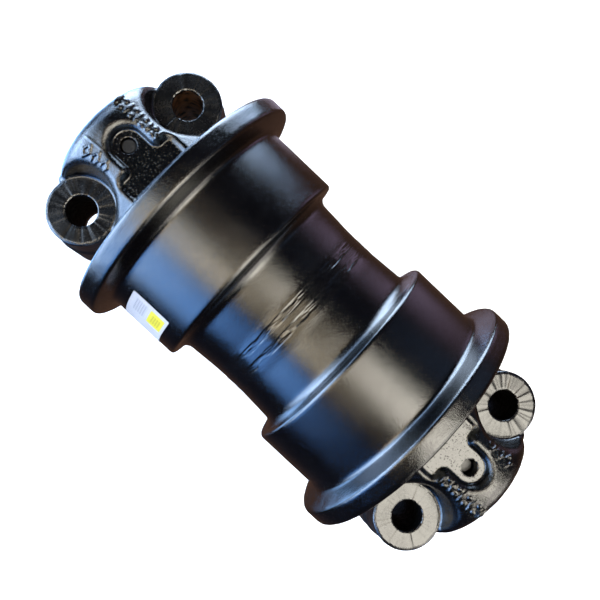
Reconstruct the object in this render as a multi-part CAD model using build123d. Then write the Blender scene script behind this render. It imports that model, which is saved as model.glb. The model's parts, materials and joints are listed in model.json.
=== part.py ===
from build123d import *
import os
from math import cos, radians, sin, tan

# Track roller for a 30 to 36 tonne excavator, in millimetres.
# The roller turns about +Y and its middle is the origin. +Z points out of the bolt-head seats,
# and the two collars are bolted to the track frame with their flat faces at -Z.

# Roller shell: two forged halves, welded together at the waist.
flange_radius = 108.0
flange_outer_y = 125.8
flange_face_slope = 14.0
tread_radius = 90.2
tread_end_y = 106.1
shoulder_y = 46.4
waist_radius = 74.8
waist_edge_radius = 76.8
waist_bend_y = 14.0
face_recess_y = 122.5
oil_chamber_radius = 50.0
weld_half_width = 8.25
weld_root_radius = 54.0
weld_root_half_width = 1.5
weld_crown = 0.25

# Shaft, thrust collar and plain bearings.
shaft_radius = 32.5
shaft_end_y = 201.5
thrust_radius = 45.0
thrust_half_width = 14.0
running_clearance = 0.05
thrust_gap = 0.3
bushing_outer_radius = 38.0
bushing_flange_radius = 46.0
bushing_flange_end_y = 20.0
bushing_end_y = 92.0
oil_hole_radius = 4.0
cross_hole_radius = 3.0
cross_hole_y = 55.0

# Floating seals: two lapped rings face to face, each carried on its own rubber toric.
seal_face_y = 112.0
seal_film = 0.05
seal_housing_radius = 54.75
seal_pocket_y = 99.0
toric_major_radius = 50.25
toric_section_radius = 4.4
toric_from_face = 7.7

# Collars, the two castings that hold the shaft and bolt to the frame.
collar_end_y = 205.0
hub_radius_outer = 54.8
hub_radius_inner = 58.3
hub_inner_y = 136.5
housing_radius = 65.5
housing_mouth_y = 114.5
housing_back_y = 125.5
mount_z = -47.0
foot_top_z = -14.0
seat_z = 18.0
bolt_x = 57.5
bolt_y = 170.5
bolt_hole_radius = 12.0
boss_top_radius = 26.8
boss_foot_radius = 28.5
pocket_floor_z = 49.0
pocket_stem_half_width = 12.0
pocket_bar_half_width = 24.0
pocket_bar_y = 154.5
pocket_draft = 10.0

# Lock pins, static seals, oil plug and label.
pin_radius = 6.0
pin_hole_radius = 6.05
pin_bottom_z = 8.5
pin_top_z = {"left": 46.8, "right": 38.0}
o_ring_y = 150.0
o_ring_section_radius = 1.6
o_ring_groove_depth = 3.4
o_ring_groove_half_width = 2.2
plug_head_radius = 11.0
plug_thread_radius = 8.0
plug_seat_y = 196.5
plug_washer_thickness = 1.5
plug_tip_y = 184.0
label_thickness = 0.25
label_y = (-94.3, -60.8)
label_from_angle = 52.8
label_to_angle = 92.0


def turned(corners):
    """A body of revolution about Y. Each corner is (radius, y) or (radius, y, corner rounding)."""
    points = [corner[:2] for corner in corners]
    rounding = [corner[2] if len(corner) > 2 else 0 for corner in corners]
    outline = FilletPolyline(*points, radius=rounding, close=True)
    return revolve(make_face(outline), Axis.Y, 360)


def on_side(solid, side):
    """Parts are drawn for the right side (+Y). The left one is turned half a turn about Z."""
    return solid if side == "right" else solid.rotate(Axis.Z, 180)


def vertical_hole(radius, x, y, low_z, high_z):
    return Pos(x, y, (low_z + high_z) / 2) * Cylinder(radius, high_z - low_z)


def weld_groove():
    """The V between the two halves, drawn past the waist so that it also cuts."""
    top_radius = waist_radius + 5
    slope = (weld_half_width - weld_root_half_width) / (waist_radius - weld_root_radius)
    top_half_width = weld_half_width + 5 * slope
    return turned([
        (weld_root_radius, -weld_root_half_width),
        (top_radius, -top_half_width),
        (top_radius, top_half_width),
        (weld_root_radius, weld_root_half_width),
    ])


def weld_seam():
    """The weld metal, ground nearly flush with the waist."""
    crown = ThreePointArc(
        (waist_radius, weld_half_width),
        (waist_radius + weld_crown, 0),
        (waist_radius, -weld_half_width),
    )
    sides = Polyline(
        (waist_radius, -weld_half_width),
        (weld_root_radius, -weld_root_half_width),
        (weld_root_radius, weld_root_half_width),
        (waist_radius, weld_half_width),
    )
    return revolve(make_face(crown + sides), Axis.Y, 360)


def shell_half():
    """One forged half: waist, tread, dished flange, bearing bore and seal housing."""
    rim_inner_y = tread_end_y + (flange_radius - tread_radius) * tan(radians(flange_face_slope))
    half = turned([
        (oil_chamber_radius, 0),
        (oil_chamber_radius, thrust_half_width),
        (bushing_flange_radius, thrust_half_width),
        (bushing_flange_radius, bushing_flange_end_y),
        (bushing_outer_radius, bushing_flange_end_y),
        (bushing_outer_radius, seal_pocket_y),
        (seal_housing_radius, seal_pocket_y, 2),
        (seal_housing_radius, 111.5),
        (seal_housing_radius + 1.5, 113),
        (67.5, 113, 1.5),
        (67.5, face_recess_y - 1),
        (68.5, face_recess_y),
        (80, face_recess_y, 1),
        (84, flange_outer_y, 1),
        (flange_radius, flange_outer_y, 3.2),
        (flange_radius, rim_inner_y, 2.5),
        (tread_radius, tread_end_y, 4),
        (tread_radius, shoulder_y, 2.5),
        (waist_edge_radius, shoulder_y, 8),
        (waist_radius, waist_bend_y, 380),
        (waist_radius, 0),
    ])
    return half - weld_groove()


def shaft():
    """The fixed shaft, with its thrust collar, oil drillings, pin holes and plug seat."""
    turning = turned([
        (0, -shaft_end_y),
        (shaft_radius - 2, -shaft_end_y),
        (shaft_radius, -shaft_end_y + 2),
        (shaft_radius, -thrust_half_width, 1),
        (thrust_radius, -thrust_half_width, 1),
        (thrust_radius, thrust_half_width, 1),
        (shaft_radius, thrust_half_width, 1),
        (shaft_radius, shaft_end_y - 2),
        (shaft_radius - 2, shaft_end_y),
        (0, shaft_end_y),
    ])
    drillings = turned([
        (0, -cross_hole_y - 6),
        (oil_hole_radius, -cross_hole_y - 4),
        (oil_hole_radius, plug_tip_y - 4),
        (plug_thread_radius, plug_tip_y - 1),
        (plug_thread_radius, plug_seat_y),
        (plug_head_radius + 0.6, plug_seat_y),
        (plug_head_radius + 0.6, shaft_end_y + 1),
        (0, shaft_end_y + 1),
    ])
    centre_mark = turned([(0, -shaft_end_y + 7), (5, -shaft_end_y - 1), (0, -shaft_end_y - 1)])
    solid = turning - drillings - centre_mark
    for sign in (-1, 1):
        across = Pos(0, sign * cross_hole_y, 0) * Rot(0, 90, 0)
        solid -= across * Cylinder(cross_hole_radius, 2 * shaft_radius + 2)
        solid -= vertical_hole(pin_hole_radius, 0, sign * bolt_y, pin_bottom_z - 0.5, shaft_radius + 2)
    return solid


def bushing():
    """A flanged bronze bush, pressed in the shell, with two oil grooves in its bore."""
    bore_radius = shaft_radius + running_clearance
    solid = turned([
        (bore_radius + 1.2, thrust_half_width + thrust_gap),
        (bushing_flange_radius, thrust_half_width + thrust_gap),
        (bushing_flange_radius, bushing_flange_end_y),
        (bushing_outer_radius, bushing_flange_end_y),
        (bushing_outer_radius, bushing_end_y - 1.5),
        (bushing_outer_radius - 1, bushing_end_y),
        (bore_radius, bushing_end_y),
        (bore_radius, thrust_half_width + thrust_gap + 1.2),
    ])
    groove_length = bushing_end_y - bushing_flange_end_y - 10
    groove_middle = (bushing_end_y + bushing_flange_end_y) / 2
    groove = Pos(0, groove_middle, 0) * Box(2 * (bore_radius + 1.2), groove_length, 6)
    return solid - groove


def seal_ring(face_y, away):
    """A lapped metal ring, its face at face_y and its tail pointing along away (+1 or -1)."""
    return turned([
        (42.5, face_y),
        (50.4, face_y, 0.4),
        (50.4, face_y + 2.8 * away, 0.4),
        (46.0, face_y + 4.5 * away, 0.8),
        (45.5, face_y + 11.5 * away),
        (42.5, face_y + 11.5 * away),
    ])


def toric(face_y, away):
    """The rubber ring that carries one seal ring in its housing."""
    section = Pos(toric_major_radius, face_y + toric_from_face * away) * Circle(toric_section_radius)
    return revolve(section, Axis.Y, 360)


def bolt_boss(sign):
    """A drafted round boss with a bevelled rim round its bolt seat."""
    outline = Polyline(
        (0, mount_z),
        (boss_foot_radius, mount_z),
        (boss_top_radius, seat_z - 1),
        (boss_top_radius - 1, seat_z),
        (0, seat_z),
        close=True,
    )
    boss = revolve(make_face(Plane.XZ * outline), Axis.Z, 360)
    return Pos(sign * bolt_x, bolt_y, 0) * boss


def seat_recess(sign):
    """The space above a bolt seat, cut into the side of the hub for the bolt head and socket."""
    top_z = hub_radius_inner + 4
    outline = FilletPolyline(
        (0, seat_z),
        (boss_top_radius + 0.8, seat_z),
        (boss_top_radius + 4.7, top_z),
        (0, top_z),
        radius=(0, 2.5, 0, 0),
        close=True,
    )
    recess = revolve(make_face(Plane.XZ * outline), Axis.Z, 360)
    return Pos(sign * bolt_x, bolt_y, 0) * recess


def bolt_hole(sign):
    """The clearance hole for a frame bolt, bevelled at both ends."""
    hole = vertical_hole(bolt_hole_radius, 0, 0, mount_z - 1, seat_z + 1)
    top_bevel = Pos(0, 0, seat_z) * Cone(bolt_hole_radius - 1, bolt_hole_radius + 1, 2)
    foot_bevel = Pos(0, 0, mount_z) * Cone(bolt_hole_radius + 1, bolt_hole_radius - 1, 2)
    return Pos(sign * bolt_x, bolt_y, 0) * (hole + top_bevel + foot_bevel)


def pin_pocket():
    """The T-shaped pocket cast in the crown of the hub, round the lock pin's hole."""
    bar_start = hub_inner_y + 3
    stem_length = bolt_y - bar_start
    bar_length = pocket_bar_y - bar_start
    stem = Pos(0, bar_start + stem_length / 2) * Rectangle(2 * pocket_stem_half_width, stem_length)
    stem += Pos(0, bolt_y) * Circle(pocket_stem_half_width)
    bar = Pos(0, bar_start + bar_length / 2) * Rectangle(2 * pocket_bar_half_width, bar_length)
    plan = stem + bar
    bar_edge = plan.vertices().filter_by(lambda v: abs(v.Y - pocket_bar_y) < 0.01)
    plan = fillet(bar_edge.filter_by(lambda v: abs(v.X) > pocket_stem_half_width + 1), 3.5)
    inner = plan.vertices().filter_by(
        lambda v: abs(v.Y - pocket_bar_y) < 0.01 and abs(abs(v.X) - pocket_stem_half_width) < 0.01
    )
    plan = fillet(inner, 6)
    return extrude(Pos(0, 0, pocket_floor_z) * plan, 14, taper=-pocket_draft)


def under_mount_face():
    """The space under the hub, milled away level with the foot."""
    depth = 30
    start_y = hub_inner_y + 2
    length = collar_end_y + 1 - start_y
    return Pos(0, start_y + length / 2, mount_z - depth / 2) * Box(2 * flange_radius, length, depth)


def collar():
    """One casting: seal housing, hub, cross foot, two bolt bosses and the pin pocket."""
    casting = turned([
        (0, collar_end_y),
        (hub_radius_outer, collar_end_y, 14),
        (hub_radius_inner, hub_inner_y, 3),
        (housing_radius, hub_inner_y, 2),
        (housing_radius, housing_mouth_y, 1),
        (0, housing_mouth_y),
    ])
    foot = SlotCenterToCenter(2 * bolt_x, 2 * boss_top_radius)
    foot_height = foot_top_z - mount_z
    casting += Pos(0, bolt_y, mount_z) * extrude(foot, foot_height, taper=1.5)
    for sign in (-1, 1):
        casting += bolt_boss(sign)
    casting -= under_mount_face()
    for sign in (-1, 1):
        casting -= seat_recess(sign)
        casting -= bolt_hole(sign)
    casting -= pin_pocket()
    casting -= vertical_hole(pin_hole_radius, 0, bolt_y, 10, pocket_floor_z + 2)
    bore_radius = shaft_radius + running_clearance
    bores = turned([
        (0, housing_mouth_y - 1),
        (seal_housing_radius + 1.5, housing_mouth_y - 1),
        (seal_housing_radius + 1.5, housing_mouth_y),
        (seal_housing_radius, housing_mouth_y + 1.5),
        (seal_housing_radius, housing_back_y, 2),
        (bore_radius, housing_back_y),
        (bore_radius, o_ring_y - o_ring_groove_half_width),
        (bore_radius + o_ring_groove_depth, o_ring_y - o_ring_groove_half_width),
        (bore_radius + o_ring_groove_depth, o_ring_y + o_ring_groove_half_width),
        (bore_radius, o_ring_y + o_ring_groove_half_width),
        (bore_radius, collar_end_y - 1.5),
        (bore_radius + 2.5, collar_end_y + 1),
        (0, collar_end_y + 1),
    ])
    return casting - bores


def lock_pin(side):
    """The pin that holds the shaft in its collar, with bevelled ends."""
    top_z = pin_top_z[side]
    outline = Polyline(
        (0, pin_bottom_z),
        (pin_radius - 1, pin_bottom_z),
        (pin_radius, pin_bottom_z + 1),
        (pin_radius, top_z - 1.2),
        (pin_radius - 1.2, top_z),
        (0, top_z),
        close=True,
    )
    pin = revolve(make_face(Plane.XZ * outline), Axis.Z, 360)
    sign = 1 if side == "right" else -1
    return Pos(0, sign * bolt_y, 0) * pin


def o_ring():
    """The static seal between shaft and collar."""
    major = shaft_radius + 0.1 + o_ring_section_radius
    return revolve(Pos(major, o_ring_y) * Circle(o_ring_section_radius), Axis.Y, 360)


def plug_washer():
    return turned([
        (plug_thread_radius + 0.1, plug_seat_y),
        (plug_head_radius - 0.2, plug_seat_y),
        (plug_head_radius - 0.2, plug_seat_y + plug_washer_thickness),
        (plug_thread_radius + 0.1, plug_seat_y + plug_washer_thickness),
    ])


def oil_plug():
    """The oil filler plug in the right end of the shaft, with a hexagon socket."""
    head_y = plug_seat_y + plug_washer_thickness
    head_top_y = shaft_end_y - 0.5
    plug = turned([
        (0, plug_tip_y),
        (plug_thread_radius - 1, plug_tip_y),
        (plug_thread_radius, plug_tip_y + 1),
        (plug_thread_radius, head_y),
        (plug_head_radius, head_y),
        (plug_head_radius, head_top_y - 0.8),
        (plug_head_radius - 0.8, head_top_y),
        (0, head_top_y),
    ])
    socket_plane = Plane(origin=(0, head_top_y - 5, 0), x_dir=(1, 0, 0), z_dir=(0, 1, 0))
    return plug - extrude(socket_plane * RegularPolygon(4.6, 6), 6)


def label():
    """A thin paper label on the left tread."""
    outer = turned([
        (tread_radius, label_y[0]),
        (tread_radius + label_thickness, label_y[0]),
        (tread_radius + label_thickness, label_y[1]),
        (tread_radius, label_y[1]),
    ])
    reach = 2 * flange_radius
    start = radians(label_from_angle)
    end = radians(label_to_angle)
    wedge = make_face(Polyline(
        (0, 0),
        (reach * sin(start), reach * cos(start)),
        (reach * sin(end), reach * cos(end)),
        close=True,
    ))
    keep = extrude(Plane.XZ * wedge, reach, both=True)
    return outer & keep


def write(name, solid):
    export_step(solid, os.path.join("parts", name + ".step"))


os.makedirs("parts", exist_ok=True)
write("weld_seam", weld_seam())
write("shaft", shaft())
write("oil_plug", oil_plug())
write("plug_washer", plug_washer())
write("label", label())
for side in ("left", "right"):
    write("shell_" + side, on_side(shell_half(), side))
    write("bushing_" + side, on_side(bushing(), side))
    write("seal_ring_shell_" + side, on_side(seal_ring(seal_face_y, -1), side))
    write("seal_ring_collar_" + side, on_side(seal_ring(seal_face_y + seal_film, 1), side))
    write("toric_shell_" + side, on_side(toric(seal_face_y, -1), side))
    write("toric_collar_" + side, on_side(toric(seal_face_y + seal_film, 1), side))
    write("collar_" + side, on_side(collar(), side))
    write("o_ring_" + side, on_side(o_ring(), side))
    write("lock_pin_" + side, lock_pin(side))
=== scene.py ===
"""Track roller: the looks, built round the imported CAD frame.

The frame is in metres. The roller's axis is +Y, its middle is the origin, and the collars' bolt seats
face +Z. Shapes below are worked out in millimetres and scaled when their mesh is made.
"""
import itertools
import json
import math

import bpy
import numpy as np
from mathutils import Matrix, Vector


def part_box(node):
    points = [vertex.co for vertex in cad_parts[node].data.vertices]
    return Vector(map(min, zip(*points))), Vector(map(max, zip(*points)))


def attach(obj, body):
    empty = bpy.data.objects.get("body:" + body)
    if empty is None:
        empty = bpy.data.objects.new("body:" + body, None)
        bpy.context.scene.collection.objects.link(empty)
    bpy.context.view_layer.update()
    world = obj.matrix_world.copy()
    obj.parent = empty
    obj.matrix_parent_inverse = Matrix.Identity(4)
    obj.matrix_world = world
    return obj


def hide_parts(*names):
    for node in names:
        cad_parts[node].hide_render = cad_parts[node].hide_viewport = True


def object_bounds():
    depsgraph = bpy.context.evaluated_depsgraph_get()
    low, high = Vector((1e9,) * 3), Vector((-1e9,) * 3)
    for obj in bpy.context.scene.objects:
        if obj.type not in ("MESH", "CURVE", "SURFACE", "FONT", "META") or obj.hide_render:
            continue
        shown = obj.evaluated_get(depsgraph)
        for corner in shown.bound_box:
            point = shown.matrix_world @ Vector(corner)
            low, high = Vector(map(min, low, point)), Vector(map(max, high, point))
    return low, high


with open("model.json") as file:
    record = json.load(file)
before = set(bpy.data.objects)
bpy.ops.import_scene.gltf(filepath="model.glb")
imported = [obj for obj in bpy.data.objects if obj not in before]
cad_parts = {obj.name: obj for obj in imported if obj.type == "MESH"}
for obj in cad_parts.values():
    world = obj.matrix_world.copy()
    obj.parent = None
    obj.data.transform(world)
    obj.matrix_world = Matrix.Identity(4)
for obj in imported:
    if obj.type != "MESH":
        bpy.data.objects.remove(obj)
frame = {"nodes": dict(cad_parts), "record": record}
cad_low, cad_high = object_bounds()
MM = 0.001
SIDES = {"left": -1, "right": 1}


def measured(node, corner, axis):
    """One coordinate of a CAD node's box, in millimetres. corner is 0 for the lowest, 1 for the highest."""
    return round(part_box(node)[corner][axis] / MM, 3)


# Sizes in millimetres. What both halves have is given for the right one, which is at +Y.
# The first ones are read from the frame.
FLANGE_RADIUS = measured("shell_right", 1, 0)
FLANGE_OUTER_Y = measured("shell_right", 1, 1)
COLLAR_END_Y = measured("collar_right", 1, 1)
MOUNT_Z = measured("collar_right", 0, 2)
LABEL_Y = (measured("label", 0, 1), measured("label", 1, 1))

# The shell, outside and inside. These sizes and the collars' repeat the CAD's own.
TREAD_RADIUS = 90.2
TREAD_END_Y = 106.1
FLANGE_FACE_SLOPE = math.radians(14)
FACE_RECESS_Y = 122.5
SHOULDER_Y = 46.4
WAIST_RADIUS = 74.8
WAIST_EDGE_RADIUS = 76.8
WAIST_BEND_Y = 14.0
OIL_CHAMBER_RADIUS = 50.0
THRUST_HALF_WIDTH = 14.0
BUSHING_FLANGE_RADIUS = 46.0
BUSHING_FLANGE_END_Y = 20.0
BUSHING_RADIUS = 38.0
SEAL_POCKET_Y = 99.0
SEAL_BORE = 54.75

# The weld's band reaches further out along the waist than the CAD's, because its torn strips do.
WELD_EDGE_Y = {"left": 12.0, "right": 10.0}
WELD_BORE = 58.0
SHELL_JOINT_RADIUS = 60.0
WELD_STRIPS = (
    {"middle": -6.4, "half_width": 2.7, "seed": 21},
    {"middle": 4.0, "half_width": 2.8, "seed": 23},
)

# The collars. A draft is the growth in radius for each millimetre of height.
HUB_RADIUS_OUTER = 54.8
HUB_RADIUS_INNER = 58.3
HUB_INNER_Y = 136.5
HUB_EDGE_ROUNDING = 14.0
HOUSING_RADIUS = 65.5
HOUSING_MOUTH_Y = 114.5
HOUSING_BACK_Y = 125.5
SHAFT_BORE = 32.55
SEAT_Z = 18.0
FOOT_TOP_Z = -14.0
BOLT_X = 57.5
BOLT_Y = 170.5
BOLT_HOLE_RADIUS = 12.0
HOLE_DRAFT = 0.045
BOSS_RADIUS = 26.8
BOSS_DRAFT = 0.026
RECESS_RADIUS = 27.6
RECESS_DRAFT = 0.088
WEB_PLACE = (49.5, 197.5)
WEB_RADIUS = 4.0
WEB_MIDDLE_Z = 3.0
WEB_HALF_HEIGHT = 13.0
MARK_HEIGHT = 1.1
POCKET_FLOOR_Z = 49.0
POCKET_STEM_HALF_WIDTH = 12.0
POCKET_BAR_HALF_WIDTH = 24.0
POCKET_BAR_Y = 154.5
POCKET_DRAFT = math.tan(math.radians(10))
PIN_HOLE_RADIUS = 6.05
PIN_HOLE_FLOOR_Z = 10.0
O_RING_Y = 150.0
O_RING_GROOVE_DEPTH = 3.4
O_RING_GROOVE_HALF_WIDTH = 2.2

# The label's ends round the tread, from straight up towards +X.
LABEL_ANGLES = (math.radians(52.8), math.radians(92.0))

# How fine the meshes are: the collars' grid, the outlines' steps, and the turns round the axis.
COLLAR_CELL = 0.95
SHELL_STEP = 2.0
SHELL_SEGMENTS = 512
WELD_STEP = 0.4
WELD_SEGMENTS = 1152
LABEL_GRID = (72, 44)

# The stage: the gap under the flanges in millimetres, and how far off the floor's edges and the lights are.
FLOOR_GAP = 0.5
FLOOR_REACH_METRES = 60.0
LIGHT_METRES = 3.0


# ---------------------------------------------------------------- numbers to meshes


def smooth_step(value):
    """0 up to 0, 1 from 1, and a smooth rise between."""
    value = np.clip(value, 0, 1)
    return value * value * (3 - 2 * value)


def below(value, edge, width):
    """1 well under an edge, falling to 0 at it over the width before it."""
    return smooth_step((edge - value) / width)


def above(value, edge, width):
    """0 up to an edge, rising to 1 over the width after it."""
    return smooth_step((value - edge) / width)


def noise(points, size, seed):
    """Smooth noise from -1 to 1 at each row of points, in lumps of about the given size."""
    place = points / size + 31.7 * seed
    cell = np.floor(place).astype(np.int64)
    part = smooth_step(place - cell)
    total = np.zeros(len(points))
    for corner in itertools.product((0, 1), repeat=3):
        knot = cell + corner
        mixed = (knot[:, 0] * 73856093) ^ (knot[:, 1] * 19349663) ^ (knot[:, 2] * 83492791)
        mixed = (mixed ^ (mixed >> 13)) * 1274126177
        value = ((mixed >> 7) & 0xFFFF) / 32767.5 - 1
        share = np.where(corner, part, 1 - part).prod(axis=1)
        total += value * share
    return total


def mesh_piece(name, points, faces, body, slot, replaced, *materials):
    """A smooth-shaded Blender object from points in millimetres, riding on a body in place of a CAD node."""
    mesh = bpy.data.meshes.new(name)
    mesh.from_pydata((points * MM).tolist(), [], faces.tolist())
    mesh.shade_smooth()
    mesh.set_sharp_from_angle(angle=math.radians(42))
    for material in materials:
        mesh.materials.append(material)
    piece = bpy.data.objects.new(name, mesh)
    bpy.context.collection.objects.link(piece)
    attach(piece, body)
    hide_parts(replaced)
    return piece


def add_share(piece, name, values):
    """Keeps one number for each point, for a material to read."""
    share = piece.data.attributes.new(name, "FLOAT", "POINT")
    share.data.foreach_set("value", np.ascontiguousarray(values, np.float32))


def rounded_outline(corners, step):
    """A closed outline through (radius, y, rounding) corners, with points at most step apart.

    Each rounding is a quadratic with the corner as its middle point, weighted so that it is a true arc.
    """
    outline = []
    for index, (radius, y, rounding) in enumerate(corners):
        corner = np.array((radius, y))
        before = np.array(corners[index - 1][:2]) - corner
        after = np.array(corners[(index + 1) % len(corners)][:2]) - corner
        before = before / np.hypot(*before)
        after = after / np.hypot(*after)
        if rounding == 0:
            outline.append(corner)
            continue
        half_turn = (math.pi - math.acos(np.clip(before @ after, -1, 1))) / 2
        reach = rounding * math.tan(half_turn)
        weight = math.cos(half_turn)
        count = max(4, int(2 * half_turn * rounding / step) + 3)
        knots = (corner + before * reach, corner, corner + after * reach)
        for t in np.linspace(0, 1, count):
            shares = ((1 - t) ** 2, 2 * t * (1 - t) * weight, t ** 2)
            outline.append(sum(s * k for s, k in zip(shares, knots)) / sum(shares))
    dense = []
    for index, start in enumerate(outline):
        end = outline[(index + 1) % len(outline)]
        count = max(1, int(np.hypot(*(end - start)) / step))
        for t in range(count):
            dense.append(start + (end - start) * t / count)
    return np.array(dense)


def lathe(outline, segments, relief):
    """Points and faces of a closed body of revolution about Y.

    relief(points) gives how far each point stands out along the outline's own normal.
    """
    rows = len(outline)
    angles = np.arange(segments) * 2 * math.pi / segments
    ahead = np.roll(outline, -1, axis=0) - np.roll(outline, 1, axis=0)
    normal = np.stack([ahead[:, 1], -ahead[:, 0]], axis=1)
    normal /= np.linalg.norm(normal, axis=1, keepdims=True)
    radius, y = outline.T
    area = np.sum(radius * np.roll(y, -1) - np.roll(radius, -1) * y)
    if area < 0:
        normal = -normal

    def swept(pairs):
        radius = pairs[:, :1]
        x = radius * np.sin(angles)
        z = radius * np.cos(angles)
        y = np.repeat(pairs[:, 1:], segments, axis=1)
        return np.stack([x, y, z], axis=2).reshape(-1, 3)

    points = swept(outline)
    points = points + swept(normal) * relief(points)[:, None]
    row = np.repeat(np.arange(rows), segments)
    turn = np.tile(np.arange(segments), rows)
    next_row = (row + 1) % rows
    next_turn = (turn + 1) % segments
    faces = np.stack([
        row * segments + turn,
        next_row * segments + turn,
        next_row * segments + next_turn,
        row * segments + next_turn,
    ], axis=1)
    if area > 0:
        faces = faces[:, ::-1]
    return points, faces


def surface_net(field, low, high, cell):
    """Points and faces of the surface where field(points) is zero, inside a box."""
    axes = [np.arange(a, b + cell, cell) for a, b in zip(low, high)]
    grid = np.stack(np.meshgrid(*axes, indexing="ij"), axis=-1)
    shape = grid.shape[:3]
    values = field(grid.reshape(-1, 3)).reshape(shape)
    inside = values < 0
    corners = list(itertools.product((0, 1), repeat=3))
    cells = tuple(n - 1 for n in shape)
    count = np.zeros(cells, int)
    for i, j, k in corners:
        count += inside[i:i + cells[0], j:j + cells[1], k:k + cells[2]]
    active = (count > 0) & (count < 8)
    number = np.full(cells, -1)
    number[active] = np.arange(active.sum())
    base = np.argwhere(active)
    total = np.zeros((len(base), 3))
    hits = np.zeros(len(base))
    for axis in range(3):
        for corner in corners:
            if corner[axis]:
                continue
            start = base + corner
            end = start + np.eye(3, dtype=int)[axis]
            a = values[tuple(start.T)]
            b = values[tuple(end.T)]
            cut = (a < 0) != (b < 0)
            place = start[cut].astype(float)
            place[:, axis] += a[cut] / (a[cut] - b[cut])
            total[cut] += place
            hits[cut] += 1
    points = np.array(low) + cell * total / hits[:, None]
    faces = []
    for axis in range(3):
        u, v = (axis + 1) % 3, (axis + 2) % 3
        here = [slice(1, n - 1) for n in shape]
        here[axis] = slice(0, shape[axis] - 1)
        there = list(here)
        there[axis] = slice(1, shape[axis])
        a = inside[tuple(here)]
        b = inside[tuple(there)]
        edge = np.argwhere(a != b)
        leaving = a[tuple(edge.T)]
        edge[:, u] += 1
        edge[:, v] += 1
        quad = []
        for du, dv in ((1, 1), (0, 1), (0, 0), (1, 0)):
            around = edge.copy()
            around[:, u] -= du
            around[:, v] -= dv
            quad.append(number[tuple(around.T)])
        quad = np.stack(quad, axis=1)
        quad[~leaving] = quad[~leaving][:, ::-1]
        faces.append(quad)
    return points, np.concatenate(faces)


def slope_of(field, points):
    """The field's gradient at points, by central differences."""
    reach = 0.05
    columns = [field(points + step) - field(points - step) for step in np.eye(3) * reach]
    return np.stack(columns, axis=1) / (2 * reach)


def settle(field, points):
    """Moves points along the field's gradient until they lie on its surface, which takes three rounds."""
    for _ in range(3):
        slope = slope_of(field, points)
        steep = np.maximum((slope ** 2).sum(axis=1), 0.25)
        points = points - slope * (field(points) / steep)[:, None]
    return points


# ---------------------------------------------------------------- the collars, as rounded solids


def join(a, b, rounding):
    """The union of two distance fields, with a fillet."""
    u = np.maximum(rounding - a, 0)
    v = np.maximum(rounding - b, 0)
    return np.maximum(rounding, np.minimum(a, b)) - np.hypot(u, v)


def both(a, b, rounding):
    """The common part of two distance fields, with a rounded edge."""
    return -join(-a, -b, rounding)


def cut(a, b, rounding):
    """The first distance field without the second, with a rounded edge."""
    return both(a, -b, rounding)


def pocket_plan(x, y):
    """Distance in plan to the T-shaped pocket: a stem round the pin's hole and a bar across it."""
    stem = np.hypot(x, y - np.minimum(y, BOLT_Y)) - POCKET_STEM_HALF_WIDTH
    bar = both(np.abs(x) - POCKET_BAR_HALF_WIDTH, y - POCKET_BAR_Y, 3.5)
    return both(join(stem, bar, 6.0), HUB_INNER_Y + 3 - y, 1.0)


def cast_marks(x, y):
    """Distance in plan to plain raised marks, which say nothing.

    On the +X side is a row of solid lozenges and pips in turn, and on the -X side one of open lozenges.
    """
    solid_x, solid_y, solid_step = 19.5, 159.0, 4.9
    open_x, open_y, open_step = -23.5, 171.5, 8.4
    nearest = np.full(x.shape, 50.0)
    for index in range(9):
        from_x = np.abs(x - solid_x)
        from_y = np.abs(y - solid_y - solid_step * index)
        if index % 2:
            mark = np.hypot(from_x - 3.1, from_y) - 1.7
        else:
            mark = (from_x * 0.36 + from_y - 2.0) * 0.94
        nearest = np.minimum(nearest, mark)
    for index in range(3):
        from_x = np.abs(x - open_x)
        from_y = np.abs(y - open_y - open_step * index)
        nearest = np.minimum(nearest, np.abs(from_x * 0.62 + from_y - 2.9) * 0.85 - 0.8)
    return nearest


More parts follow.
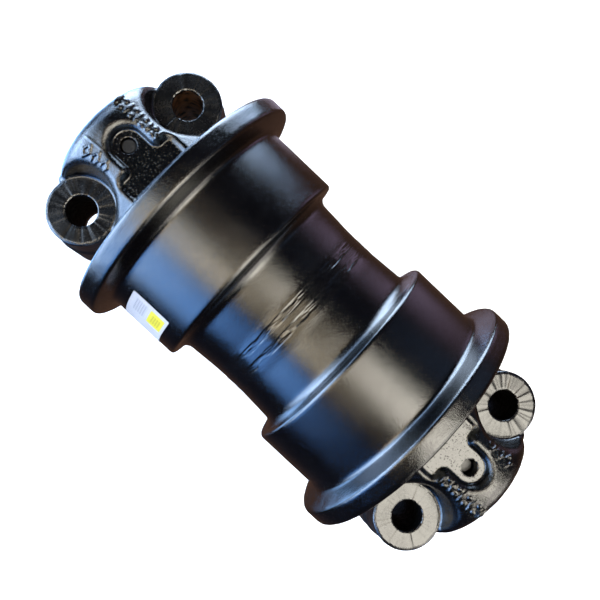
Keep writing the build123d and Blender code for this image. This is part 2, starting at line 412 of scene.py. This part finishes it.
def collar_field(points):
    """Roughly the distance to the right collar's surface, negative inside it."""
    x, y, z = points.T
    radius = np.hypot(x, z)
    slope = (HUB_RADIUS_INNER - HUB_RADIUS_OUTER) / (COLLAR_END_Y - HUB_INNER_Y)
    hub_side = radius - HUB_RADIUS_INNER + slope * (y - HUB_INNER_Y)
    hub = both(hub_side, y - COLLAR_END_Y, HUB_EDGE_ROUNDING)
    hub = both(hub, HOUSING_BACK_Y - y, 1.0)
    housing_middle = (HUB_INNER_Y + HOUSING_MOUTH_Y) / 2
    housing_ends = np.abs(y - housing_middle) - (HUB_INNER_Y - housing_middle)
    housing = both(radius - HOUSING_RADIUS, housing_ends, 1.5)
    body = join(hub, housing, 3.0)

    raised = both(cast_marks(x, y), hub_side - MARK_HEIGHT, 0.6)
    body = join(body, np.maximum(raised, -z), 0.6)

    foot_plan = np.hypot(x - np.clip(x, -BOLT_X, BOLT_X), y - BOLT_Y) - BOSS_RADIUS
    foot_plan = foot_plan - BOSS_DRAFT * (SEAT_Z - z)
    foot = both(foot_plan, z - FOOT_TOP_Z, 3.0)
    body = join(body, foot, 6.0)
    body = both(body, MOUNT_Z - z, 1.2)

    across = np.hypot(np.abs(x) - BOLT_X, y - BOLT_Y)
    recess = both(across - RECESS_RADIUS - RECESS_DRAFT * (z - SEAT_Z), SEAT_Z - z, 2.6)
    body = cut(body, recess, 4.5)
    boss = both(across - BOSS_RADIUS - BOSS_DRAFT * (SEAT_Z - z), z - SEAT_Z, 1.3)
    boss = both(boss, MOUNT_Z - z, 1.2)
    body = join(body, boss, 0.01 + 5.0 * smooth_step((SEAT_Z - z - 1.5) / 8))
    web = np.hypot(np.abs(x) - WEB_PLACE[0], y - WEB_PLACE[1]) - WEB_RADIUS
    web = both(np.maximum(web, x), np.abs(z - WEB_MIDDLE_Z) - WEB_HALF_HEIGHT, 3.0)
    body = join(body, web, 3.0)

    body = cut(body, across - BOLT_HOLE_RADIUS - HOLE_DRAFT * np.maximum(-z, 0), 0.9)
    wall = pocket_plan(x, y) - POCKET_DRAFT * (z - POCKET_FLOOR_Z)
    pocket = both(wall, POCKET_FLOOR_Z - z, 1.3)
    body = cut(body, pocket, 5.5)
    pin_hole = np.maximum(np.hypot(x, y - BOLT_Y) - PIN_HOLE_RADIUS, PIN_HOLE_FLOOR_Z - z)
    body = cut(body, pin_hole, 0.7)
    bore = np.minimum(radius - SHAFT_BORE, np.maximum(radius - SEAL_BORE, y - HOUSING_BACK_Y))
    groove_ends = np.abs(y - O_RING_Y) - O_RING_GROOVE_HALF_WIDTH
    groove = np.maximum(radius - SHAFT_BORE - O_RING_GROOVE_DEPTH, groove_ends)
    return cut(body, np.minimum(bore, groove), 1.0)


def machined_share(points):
    """1 on the faces that were machined or bored, 0 on the cast skin."""
    x, y, z = points.T
    radius = np.hypot(x, z)
    across = np.hypot(np.abs(x) - BOLT_X, y - BOLT_Y)
    seat = below(across, BOSS_RADIUS - 1.2, 1.2) * below(np.abs(z - SEAT_Z), 1.2, 0.6)
    hole = below(across, BOLT_HOLE_RADIUS + 1.0, 0.5)
    face = below(np.abs(z - MOUNT_Z), 1.2, 0.6)
    bore = below(radius, SHAFT_BORE + 1.5, 0.5) + (y < HOUSING_BACK_Y + 1)
    return np.clip(seat + hole + face + bore, 0, 1)


def make_collars(outside, inside):
    """Both collars from one casting's shape, each with its own sand-cast skin.

    outside is their paint, and inside is the bolt holes' own.
    """
    low = (-BOLT_X - 31, HOUSING_MOUTH_Y - 2, -HOUSING_RADIUS - 2)
    high = (BOLT_X + 31, COLLAR_END_Y + 2, HOUSING_RADIUS + 2)
    points, faces = surface_net(collar_field, low, high, COLLAR_CELL)
    points = settle(collar_field, points)
    slope = slope_of(collar_field, points)
    normal = slope / np.maximum(np.linalg.norm(slope, axis=1, keepdims=True), 1e-6)
    x, y, z = points.T
    across = np.hypot(np.abs(x) - BOLT_X, y - BOLT_Y)
    machined = machined_share(points)
    pocket = below(pocket_plan(x, y), 1.5, 1.5) * below(np.abs(z - POCKET_FLOOR_Z), 1.0, 0.8)
    hole = below(across, BOLT_HOLE_RADIUS + 3.0, 0.5) * below(z, SEAT_Z - 1.4, 1.2)
    knobbly = above(across, BOSS_RADIUS - 1.6, 1.5) * below(z, SEAT_Z - 0.3, 1.5)
    knobbly = knobbly * above(np.abs(x), 52.0, 8.0)
    # A short raised parting line, for the left collar only.
    seam = below(np.abs(x + 16 + 0.05 * (y - 190)), 1.2, 1.0) * (z > 0)
    seam = seam * above(y, 180.0, 2.0) * below(y, 197.0, 3.0)
    for seed, (side, sign) in enumerate(SIDES.items()):
        swell = 0.16 * noise(points, 11.0, 3 + seed) + 0.07 * noise(points, 4.2, 5 + seed)
        grain = 0.04 * noise(points, 2.1, 7 + seed) + 0.15 * knobbly * noise(points, 3.8, 9 + seed)
        skin = (1 - machined) * (1 - 0.7 * pocket) * (swell + grain) + 0.4 * seam * (sign < 0)
        placed = points + normal * skin[:, None]
        placed[:, :2] *= sign
        name, replaced = "cast_collar_" + side, "collar_" + side
        piece = mesh_piece(name, placed, faces, "mounting", "cast_paint", replaced, outside, inside)
        piece.data.polygons.foreach_set("material_index", (hole[faces[:, 0]] > 0.5).astype(np.int32))
        add_share(piece, "machined", machined)
        add_share(piece, "pocket", pocket)
        add_share(piece, "hole", hole)
        add_share(piece, "knobbly", knobbly)
        add_share(piece, "rust", hole * (sign < 0) * (x > 0))


# ---------------------------------------------------------------- the turned shell and its weld


def shell_relief(points):
    """Forging and paint unevenness, more of it on the flange's rim than on the turned treads."""
    x, y, z = points.T
    radius = np.hypot(x, z)
    rim = above(radius, TREAD_RADIUS + 4, 6.0)
    outside = radius > SHELL_JOINT_RADIUS
    swell = (0.02 + 0.09 * rim) * noise(points, 8.0, 11)
    return outside * (swell + 0.045 * rim * noise(points, 2.8, 12))


def make_shells(paint):
    """The two shell halves. An outline runs from the weld along the bore, the end and the outside."""
    rim_inner_y = TREAD_END_Y + (FLANGE_RADIUS - TREAD_RADIUS) * math.tan(FLANGE_FACE_SLOPE)
    for side, sign in SIDES.items():
        weld_y = WELD_EDGE_Y[side]
        outline = rounded_outline([
            (SHELL_JOINT_RADIUS, weld_y, 0),
            (OIL_CHAMBER_RADIUS, THRUST_HALF_WIDTH, 0),
            (BUSHING_FLANGE_RADIUS, THRUST_HALF_WIDTH, 0),
            (BUSHING_FLANGE_RADIUS, BUSHING_FLANGE_END_Y, 0),
            (BUSHING_RADIUS, BUSHING_FLANGE_END_Y, 0),
            (BUSHING_RADIUS, SEAL_POCKET_Y, 0),
            (SEAL_BORE, SEAL_POCKET_Y, 2),
            (SEAL_BORE, 111.5, 0),
            (SEAL_BORE + 1.5, 113, 0),
            (67.5, 113, 1.5),
            (67.5, FACE_RECESS_Y - 1, 0),
            (68.5, FACE_RECESS_Y, 0),
            (80, FACE_RECESS_Y, 1),
            (84, FLANGE_OUTER_Y, 1),
            (FLANGE_RADIUS, FLANGE_OUTER_Y, 3.2),
            (FLANGE_RADIUS, rim_inner_y, 2.5),
            (TREAD_RADIUS, TREAD_END_Y, 4),
            (TREAD_RADIUS, SHOULDER_Y, 2.5),
            (WAIST_EDGE_RADIUS, SHOULDER_Y, 8),
            (WAIST_RADIUS, WAIST_BEND_Y, 0),
            (WAIST_RADIUS, weld_y, 0),
        ], SHELL_STEP)
        outline[:, 1] *= sign
        points, faces = lathe(outline, SHELL_SEGMENTS, shell_relief)
        mesh_piece("turned_shell_" + side, points, faces, "roller", "shell_paint", "shell_" + side, paint)


def strip_share(around, y, middle, half_width, seed):
    """1 inside one strip of the weld round the waist. Its edges are straight, and nicked here and there."""
    edge = half_width - 0.9 * np.maximum(noise(around, 9.0, seed), 0) ** 2
    return below(np.abs(y - middle), edge, 0.35)


def weld_relief(points):
    """Two strips torn into long flakes where the weld was ground, with a smoother band between them."""
    x, y, z = points.T
    around = np.stack([x, 0 * y, z], axis=1)
    strips = np.maximum(*(strip_share(around, y, **strip) for strip in WELD_STRIPS))
    drift = 1.5 * noise(around, 24.0, 31) + 0.5 * noise(around, 7.0, 33)
    stretched = np.stack([x, (y + drift) * 7, z], axis=1)
    flakes = 1 - np.abs(noise(stretched, 14.0, 25) + 0.4 * noise(stretched, 5.0, 27))
    step = smooth_step(noise(stretched, 9.0, 35) * 4 + 0.5)
    fade = below(np.abs(y), 11.0, 1.5)
    on_surface = np.hypot(x, z) > WAIST_RADIUS - 1
    fine = noise(stretched * (1, 2.2, 1), 9.0, 37)
    relief = strips * (-0.23 + 0.11 * flakes ** 2 + 0.10 * step + 0.05 * fine)
    relief += (1 - strips) * 0.015 * noise(points, 5.0, 29)
    return on_surface * fade * relief


def make_weld(paint):
    """The weld as a ring, fine enough outside for its flakes. Its bore needs only two rows of points."""
    low_y, high_y = -WELD_EDGE_Y["left"], WELD_EDGE_Y["right"]
    outline = rounded_outline([
        (WELD_BORE, low_y, 0),
        (WELD_BORE, high_y, 0),
        (WAIST_RADIUS, high_y, 0),
        (WAIST_RADIUS, low_y, 0),
    ], WELD_STEP)
    at_corner = np.isin(outline[:, 1], (low_y, high_y)) & (outline[:, 0] < WELD_BORE + 0.1)
    outline = outline[(outline[:, 0] > WAIST_RADIUS - 0.1) | at_corner]
    points, faces = lathe(outline, WELD_SEGMENTS, weld_relief)
    mesh_piece("ground_weld", points, faces, "roller", "weld_paint", "weld_seam", paint)


# ---------------------------------------------------------------- the label


def make_label(paper):
    """A thin paper label, slightly lifted at its edges, that follows the tread."""
    columns, rows = LABEL_GRID
    angle = np.linspace(*LABEL_ANGLES, columns)
    y = np.linspace(*LABEL_Y, rows)
    grid_angle, grid_y = (a.ravel() for a in np.meshgrid(angle, y, indexing="ij"))
    across = np.abs(2 * (grid_y - LABEL_Y[0]) / (LABEL_Y[1] - LABEL_Y[0]) - 1)
    around = np.abs(2 * (grid_angle - LABEL_ANGLES[0]) / (LABEL_ANGLES[1] - LABEL_ANGLES[0]) - 1)
    lift = 0.12 + 0.10 * across ** 12 + 0.22 * (across * around) ** 10
    thickness = 0.1

    def sheet(height):
        radius = TREAD_RADIUS + height
        return np.stack([radius * np.sin(grid_angle), grid_y, radius * np.cos(grid_angle)], axis=1)

    points = np.concatenate([sheet(lift), sheet(lift + thickness)])
    number = np.arange(columns * rows).reshape(columns, rows)
    corners = [number[:-1, :-1], number[:-1, 1:], number[1:, 1:], number[1:, :-1]]
    under = np.stack(corners, axis=-1).reshape(-1, 4)
    over = under[:, ::-1] + columns * rows
    rim = np.concatenate([number[:-1, 0], number[-1, :-1], number[:0:-1, -1], number[0, :0:-1]])
    after = np.roll(rim, -1)
    edge = np.stack([rim, after, after + columns * rows, rim + columns * rows], axis=1)
    faces = np.concatenate([under, over, edge])
    mesh_piece("paper_label", points, faces, "roller", "label_paper", "label", paper)


# ---------------------------------------------------------------- materials


PAINT_SPECULAR = 1.0
PAINT_BASE = (0.001, 0.001, 0.0012)
PAINT_BLACK = (0.0006, 0.0006, 0.0008)
PAINT_DUSTY = (0.0020, 0.0019, 0.0018)


class Recipe:
    """A Principled material, with short calls for the nodes that feed it."""

    def __init__(self, name, colour, roughness, metallic=0.0, specular=0.5):
        self.material = bpy.data.materials.new(name)
        self.material.use_nodes = True
        self.tree = self.material.node_tree
        self.shader = self.tree.nodes["Principled BSDF"]
        self.set("Base Color", (*colour, 1))
        self.set("Roughness", roughness)
        self.set("Metallic", metallic)
        self.set("Specular IOR Level", specular)
        self.place = self.node("ShaderNodeTexCoord").outputs["Object"]

    def node(self, kind, **settings):
        made = self.tree.nodes.new(kind)
        for key, value in settings.items():
            setattr(made, key, value)
        return made

    def set(self, socket, value):
        self.shader.inputs[socket].default_value = value

    def feed(self, socket, source):
        self.tree.links.new(source, self.shader.inputs[socket])

    def put(self, made, index, value):
        if isinstance(value, bpy.types.NodeSocket):
            self.tree.links.new(value, made.inputs[index])
        else:
            made.inputs[index].default_value = value

    def math(self, operation, *values):
        made = self.node("ShaderNodeMath", operation=operation)
        for index, value in enumerate(values):
            self.put(made, index, value)
        return made.outputs[0]

    def plus(self, a, b):
        return self.math("ADD", a, b)

    def minus(self, a, b):
        return self.math("SUBTRACT", a, b)

    def times(self, a, b):
        return self.math("MULTIPLY", a, b)

    def ramp(self, value, low, high, out_low=0.0, out_high=1.0):
        """A smooth change from out_low to out_high as value goes from low to high."""
        made = self.node("ShaderNodeMapRange", interpolation_type="SMOOTHSTEP")
        for index, number in enumerate((value, low, high, out_low, out_high)):
            self.put(made, index, number)
        return made.outputs[0]

    def mix(self, share, first, second):
        """A colour mix. The colours are RGB triples or sockets."""
        made = self.node("ShaderNodeMix", data_type="RGBA")
        self.put(made, 0, share)
        for index, colour in ((6, first), (7, second)):
            self.put(made, index, colour if isinstance(colour, bpy.types.NodeSocket) else (*colour, 1))
        return made.outputs[2]

    def noise(self, scale, detail=3.0, roughness=0.55, at=None):
        made = self.node("ShaderNodeTexNoise")
        self.tree.links.new(at or self.place, made.inputs["Vector"])
        made.inputs["Scale"].default_value = scale
        made.inputs["Detail"].default_value = detail
        made.inputs["Roughness"].default_value = roughness
        return made.outputs["Fac"]

    def pits(self, scale):
        """The distance from the nearest of many scattered points."""
        made = self.node("ShaderNodeTexVoronoi", feature="F1")
        self.tree.links.new(self.place, made.inputs["Vector"])
        made.inputs["Scale"].default_value = scale
        return made.outputs["Distance"]

    def share(self, name):
        """A number that add_share kept on the mesh."""
        return self.node("ShaderNodeAttribute", attribute_name=name).outputs["Fac"]

    def parts(self):
        """The x, y and z of the place."""
        made = self.node("ShaderNodeSeparateXYZ")
        self.tree.links.new(self.place, made.inputs[0])
        return made.outputs

    def vector(self, x, y, z):
        made = self.node("ShaderNodeCombineXYZ")
        for index, value in enumerate((x, y, z)):
            self.put(made, index, value)
        return made.outputs[0]

    def turned_place(self, across, around):
        """Coordinates for marks left by turning.

        across sets how fine the marks are along Y, and around how short they are round it.
        """
        x, y, z = self.parts()
        radius = self.math("SQRT", self.plus(self.times(x, x), self.times(z, z)))
        turn_x = self.times(self.math("DIVIDE", x, radius), around)
        turn_z = self.times(self.math("DIVIDE", z, radius), around)
        level = self.times(self.plus(y, radius), across)
        return self.vector(turn_x, level, turn_z)

    def bump(self, *layers):
        """Bump from (height, depth in metres) layers, stacked."""
        normal = None
        for height, depth in layers:
            made = self.node("ShaderNodeBump")
            made.inputs["Strength"].default_value = 1.0
            made.inputs["Distance"].default_value = depth
            self.put(made, "Height", height)
            if normal is not None:
                self.tree.links.new(normal, made.inputs["Normal"])
            normal = made.outputs[0]
        self.feed("Normal", normal)


def make_shell_paint(name, gloss):
    """Satin black paint over turned steel: faint turning marks, a soft mottle, specks and a little dust."""
    r = Recipe(name, PAINT_BASE, gloss, specular=PAINT_SPECULAR)
    turning = r.noise(1.0, 2.0, 0.6, r.turned_place(2600.0, 5.0))
    mottle = r.noise(38.0, 4.0)
    speck = r.ramp(r.pits(420.0), 0.10, 0.02)
    dusty = r.ramp(r.noise(55.0, 5.0, 0.65), 0.52, 0.75)
    r.feed("Base Color", r.mix(dusty, PAINT_BLACK, PAINT_DUSTY))
    rough = r.ramp(mottle, 0.3, 0.7, gloss - 0.03, gloss + 0.04)
    r.feed("Roughness", r.plus(rough, r.times(turning, 0.03)))
    r.bump(
        (turning, 0.00001),
        (r.noise(1500.0, 1.0), 0.00014),
        (r.noise(260.0, 3.0), 0.00003),
        (speck, 0.00004),
    )
    return r.material


def make_cast_paint():
    """Glossier black paint over a cast skin, with marks fanning over the seats, and a pitted pocket floor
    with painted shade darkening its pits.
    """
    r = Recipe("cast_paint", PAINT_BASE, 0.2, specular=PAINT_SPECULAR)
    machined = r.share("machined")
    pocket = r.share("pocket")
    hole = r.share("hole")
    grain = r.noise(620.0, 4.0, 0.6)
    pits = r.ramp(r.pits(640.0), 0.02, 0.34)
    x, y, z = r.parts()
    from_x = r.minus(r.math("ABSOLUTE", x), BOLT_X * MM)
    from_y = r.minus(r.math("ABSOLUTE", y), BOLT_Y * MM)
    angle = r.math("ARCTAN2", from_y, from_x)
    spokes = r.noise(1.0, 1.0, 0.5, r.vector(
        r.times(angle, 3.4),
        r.times(r.math("SIGN", x), 1.9),
        r.times(r.math("SIGN", y), 2.3),
    ))
    cast = r.minus(1.0, machined)
    seat = r.minus(machined, hole)
    skin = r.minus(cast, r.times(pocket, 0.85))
    shade = r.mix(seat, (0.0008, 0.0008, 0.0011), (0.0030, 0.0029, 0.0026))
    shade = r.mix(r.times(seat, r.ramp(spokes, 0.45, 0.65)), shade, (0.008, 0.008, 0.0075))
    # Painted shade: the pocket floor's base colour is darker in its pits, darkest at their middles.
    painted_pit_shade = r.times(pocket, r.minus(1.0, pits))
    r.feed("Base Color", r.mix(painted_pit_shade, shade, (0.0004, 0.0004, 0.0004)))
    worn = r.ramp(r.noise(60.0, 2.0, 0.5), 0.3, 0.75, 0.03, 0.12)
    rough = r.plus(r.times(seat, worn), r.ramp(grain, 0.3, 0.7, 0.13, 0.22))
    r.feed("Roughness", r.plus(rough, r.times(r.share("knobbly"), 0.2)))
    r.bump(
        (r.times(r.noise(1500.0, 1.0), skin), 0.0002),
        (r.times(grain, cast), 0.00012),
        (r.times(pits, pocket), 0.0001),
        (r.times(spokes, seat), 0.0009),
    )
    return r.material


def make_bore_paint():
    """Inside the bolt holes: dull, nearly black, and rusty where the paint missed one of them."""
    r = Recipe("bore_paint", (0.001, 0.001, 0.001), 0.8, specular=0.1)
    rusty = r.times(r.share("rust"), r.ramp(r.noise(150.0, 4.0), 0.35, 0.6))
    r.feed("Base Color", r.mix(rusty, (0.0006, 0.0006, 0.0007), (0.10, 0.045, 0.02)))
    r.feed("Roughness", r.ramp(r.noise(300.0), 0.3, 0.7, 0.7, 0.95))
    r.bump((r.noise(700.0, 4.0), 0.0001))
    return r.material


def make_weld_paint():
    """The shell's paint over the ragged weld: a smoother film, with drag marks round the waist."""
    r = Recipe("weld_paint", (0.001, 0.001, 0.001), 0.22, specular=PAINT_SPECULAR)
    drag = r.noise(1.0, 3.0, 0.6, r.turned_place(1300.0, 14.0))
    fine = r.noise(600.0, 3.0, 0.6)
    r.feed("Roughness", r.ramp(drag, 0.3, 0.7, 0.15, 0.24))
    r.feed("Base Color", r.mix(r.ramp(fine, 0.45, 0.7), PAINT_BLACK, PAINT_DUSTY))
    r.bump((drag, 0.00004), (fine, 0.00002))
    return r.material


def make_label_paper():
    """White paper, a yellow patch with a few plain bars, and a pale grey block of plain bars."""
    r = Recipe("label_paper", (0.9, 0.9, 0.92), 0.45)
    x, y, z = r.parts()
    angle = r.math("ARCTAN2", x, z)

    def patch(y_low, y_high, degrees_low, degrees_high):
        """1 inside a patch of the label, 0 outside it."""
        along = r.times(r.math("GREATER_THAN", y, y_low * MM), r.math("LESS_THAN", y, y_high * MM))
        low, high = math.radians(degrees_low), math.radians(degrees_high)
        around = r.times(r.math("GREATER_THAN", angle, low), r.math("LESS_THAN", angle, high))
        return r.times(along, around)

    fibre = r.noise(700.0, 4.0)
    paper = r.mix(r.ramp(fibre, 0.3, 0.7), (0.35, 0.33, 0.33), (0.41, 0.385, 0.38))
    bars = r.math("GREATER_THAN", r.math("SINE", r.times(angle, 260.0)), -0.2)
    gaps = r.math("GREATER_THAN", r.math("SINE", r.times(y, 3100.0)), -0.6)
    bars = r.times(bars, gaps)
    grey_bars = r.times(patch(-89.5, -79.0, 55.6, 66.5), bars)
    yellow_bars = r.times(patch(-73.5, -65.5, 57.5, 64.8), bars)
    printed = r.mix(patch(-76.0, -63.2, 55.3, 66.9), paper, (0.52, 0.43, 0.015))
    printed = r.mix(r.times(grey_bars, 0.75), printed, (0.12, 0.13, 0.15))
    printed = r.mix(r.times(yellow_bars, 0.7), printed, (0.15, 0.11, 0.015))
    r.feed("Base Color", printed)
    r.bump((fibre, 0.00004))
    return r.material


def make_metal(name, colour, roughness, streaks):
    """Bare turned metal with fine streaks round the axis."""
    r = Recipe(name, colour, roughness, 1.0)
    turning = r.noise(1.0, 3.0, 0.6, r.turned_place(streaks, 8.0))
    darker = tuple(0.7 * c for c in colour)
    r.feed("Base Color", r.mix(r.noise(70.0, 4.0), darker, colour))
    r.feed("Roughness", r.ramp(turning, 0.25, 0.75, roughness - 0.06, roughness + 0.10))
    r.bump((turning, 0.00002))
    return r.material


def make_rubber():
    """Dull black rubber."""
    r = Recipe("rubber", (0.018, 0.018, 0.018), 0.6)
    r.feed("Roughness", r.ramp(r.noise(300.0), 0.3, 0.7, 0.5, 0.72))
    r.bump((r.noise(900.0, 3.0), 0.00003))
    return r.material


def dress_cad_nodes(paint):
    """The CAD nodes get a material by the record's slot, and those without one of their own the paint."""
    by_slot = {
        "shaft_steel": make_metal("shaft_steel", (0.42, 0.41, 0.40), 0.28, 2500.0),
        "bronze": make_metal("bronze", (0.60, 0.38, 0.17), 0.30, 1800.0),
        "seal_metal": make_metal("seal_metal", (0.55, 0.55, 0.56), 0.20, 3000.0),
        "plug_steel": make_metal("plug_steel", (0.36, 0.35, 0.33), 0.38, 1200.0),
        "copper": make_metal("copper", (0.62, 0.30, 0.18), 0.35, 1500.0),
        "rubber": make_rubber(),
        "pin_paint": make_shell_paint("pin_paint", 0.3),
    }
    slots = {part["node"]: part["material_slot"] for part in frame["record"]["subparts"]}
    for name, node in frame["nodes"].items():
        node.data.materials.clear()
        node.data.materials.append(by_slot.get(slots[name], paint))
        node.data.shade_smooth()
        node.data.set_sharp_from_angle(angle=math.radians(35))


# ---------------------------------------------------------------- camera, floor and lights


def make_camera():
    """Close above the roller, turned so that its axis runs down to the right."""
    data = bpy.data.cameras.new("camera")
    data.lens = 39.4
    data.sensor_width = 36.0
    data.clip_start = 0.01
    data.clip_end = 20.0
    camera = bpy.data.objects.new("camera", data)
    camera.location = (0.0476, -0.0182, 0.5231)
    camera.rotation_euler = [math.radians(a) for a in (3.40, -5.44, 133.08)]
    bpy.context.collection.objects.link(camera)
    bpy.context.scene.camera = camera


def panel(name, around, lean, radiance):
    """A large soft box, facing the roller.

    Its edges are angles in degrees: around is round the roller's axis, from straight up towards +X,
    and lean is towards +Y. The radiance is red, green and blue.
    """
    turn, tip = math.radians(sum(around) / 2), math.radians(sum(lean) / 2)
    towards = Vector((math.sin(turn) * math.cos(tip), math.sin(tip), math.cos(turn) * math.cos(tip)))
    across = Vector((math.cos(turn), 0, -math.sin(turn)))
    half_across = math.radians(around[1] - around[0]) / 2 * math.cos(tip)
    half_along = math.radians(lean[1] - lean[0]) / 2
    strength = max(radiance)
    data = bpy.data.lights.new(name, "AREA")
    data.shape = "RECTANGLE"
    data.size = 2 * LIGHT_METRES * math.tan(half_across)
    data.size_y = 2 * LIGHT_METRES * math.tan(half_along)
    data.color = [value / strength for value in radiance]
    data.energy = strength * data.size * data.size_y * math.pi
    light = bpy.data.objects.new(name, data)
    turned = Matrix((across, towards.cross(across), towards)).transposed().to_4x4()
    light.matrix_world = Matrix.Translation(towards * LIGHT_METRES) @ turned
    light.visible_camera = False
    bpy.context.collection.objects.link(light)


def mix_shaders(tree, share, first, second, output):
    """Sends a mix of two shaders to the tree's output."""
    mixed = tree.nodes.new("ShaderNodeMixShader")
    for index, source in enumerate((share, first, second)):
        tree.links.new(source, mixed.inputs[index])
    tree.links.new(mixed.outputs[0], tree.nodes[output].inputs["Surface"])


def make_stage():
    """A plain pale floor just under the flanges. From below it is clear, so the underside can be seen."""
    mesh = bpy.data.meshes.new("floor")
    reach = FLOOR_REACH_METRES
    level = cad_low.z - FLOOR_GAP * MM
    corners = [(-reach, -reach, level), (reach, -reach, level), (reach, reach, level), (-reach, reach, level)]
    mesh.from_pydata(corners, [], [(0, 1, 2, 3)])
    floor = bpy.data.objects.new("floor", mesh)
    bpy.context.collection.objects.link(floor)
    material = bpy.data.materials.new("floor")
    material.use_nodes = True
    tree = material.node_tree
    shader = tree.nodes["Principled BSDF"]
    shader.inputs["Base Color"].default_value = (0.86, 0.86, 0.86, 1)
    shader.inputs["Roughness"].default_value = 0.9
    shader.inputs["Specular IOR Level"].default_value = 0.1
    shader.inputs["Emission Color"].default_value = (1, 1, 1, 1)
    shader.inputs["Emission Strength"].default_value = 0.6
    side = tree.nodes.new("ShaderNodeNewGeometry")
    ray = tree.nodes.new("ShaderNodeLightPath")
    below_floor = tree.nodes.new("ShaderNodeMath")
    below_floor.operation = "MULTIPLY"
    clear = tree.nodes.new("ShaderNodeBsdfTransparent")
    tree.links.new(side.outputs["Backfacing"], below_floor.inputs[0])
    tree.links.new(ray.outputs["Is Camera Ray"], below_floor.inputs[1])
    mix_shaders(tree, below_floor.outputs[0], shader.outputs[0], clear.outputs[0], "Material Output")
    mesh.materials.append(material)
    floor.visible_glossy = False


def make_world():
    """A dark room for the reflections, warm brown low down on the -X side. The camera sees a pale one."""
    world = bpy.data.worlds.new("world")
    world.use_nodes = True
    tree = world.node_tree
    room = tree.nodes["Background"]
    place = tree.nodes.new("ShaderNodeTexCoord")
    towards = tree.nodes.new("ShaderNodeVectorMath")
    towards.operation = "DOT_PRODUCT"
    towards.inputs[1].default_value = (-0.6, 0.0, -0.8)
    share = tree.nodes.new("ShaderNodeMapRange")
    share.inputs["From Min"].default_value = 0.15
    share.inputs["From Max"].default_value = 0.65
    mix = tree.nodes.new("ShaderNodeMix")
    mix.data_type = "RGBA"
    mix.inputs[6].default_value = (0.02, 0.02, 0.03, 1)
    mix.inputs[7].default_value = (0.12, 0.065, 0.045, 1)
    tree.links.new(place.outputs["Generated"], towards.inputs[0])
    tree.links.new(towards.outputs["Value"], share.inputs["Value"])
    tree.links.new(share.outputs[0], mix.inputs[0])
    tree.links.new(mix.outputs[2], room.inputs["Color"])
    backdrop = tree.nodes.new("ShaderNodeBackground")
    backdrop.inputs["Color"].default_value = (0.64, 0.64, 0.64, 1)
    ray = tree.nodes.new("ShaderNodeLightPath")
    mix_shaders(tree, ray.outputs["Is Camera Ray"], room.outputs[0], backdrop.outputs[0], "World Output")
    bpy.context.scene.world = world


def make_lights():
    """Warm windows overhead, dim walls on the -X side, blue light on the +X side, and sky on the -Y side.

    The sky goes on below, where the floor doesn't hide it from a glossy surface.
    """
    panel("window_far", (-18, 18), (9, 48), (7.4, 7.0, 6.1))
    panel("window_high", (-36, 42), (50, 64), (2.7, 2.6, 2.4))
    panel("window_end", (-80, 60), (65, 88), (4.4, 4.1, 3.7))
    panel("window_near", (17, 42), (-13, -3), (7.0, 6.2, 4.8))
    panel("window_glow", (-10, 40), (-3, 9), (1.6, 1.25, 0.8))
    panel("dim_wall", (-114, -78), (2, 12.5), (0.75, 0.6, 0.95))
    panel("dim_rim", (-72, -36), (14, 26), (0.14, 0.22, 0.36))
    panel("dim_under", (184, 226), (-27, -10), (0.55, 0.50, 0.68))
    panel("blue_edge", (50, 90), (-14, -1), (1.0, 2.5, 5.8))
    panel("blue_side", (50, 92), (-1, 6), (0.7, 1.7, 4.2))
    panel("sky_front", (38, 100), (-46, -17), (4.9, 7.2, 11.2))
    panel("sky_low", (42, 104), (-74, -46), (8.0, 11.2, 16.4))
    panel("sky_high", (14, 38), (-60, -15), (2.4, 3.0, 3.8))
    panel("sky_edge", (-106, -76), (-20, -13.5), (3.7, 5.4, 8.0))
    panel("sky_back", (-112, -67), (-45, -20), (7.6, 9.6, 12.4))
    panel("sky_back_low", (-138, -58), (-64, -45), (8.6, 11.2, 14.6))
    panel("sky_under", (112, 214), (-62, -32), (1.9, 3.5, 6.4))
    panel("sky_end", (-90, 34), (-84, -64), (2.2, 3.4, 5.4))


# ---------------------------------------------------------------- putting it together

make_camera()
make_stage()
make_world()
make_lights()
bpy.context.scene.view_settings.view_transform = "Standard"
shell_paint = make_shell_paint("shell_paint", 0.16)
weld_paint = make_weld_paint()
cast_paint = make_cast_paint()
bore_paint = make_bore_paint()
label_paper = make_label_paper()
dress_cad_nodes(shell_paint)
make_collars(cast_paint, bore_paint)
make_shells(shell_paint)
make_weld(weld_paint)
make_label(label_paper)
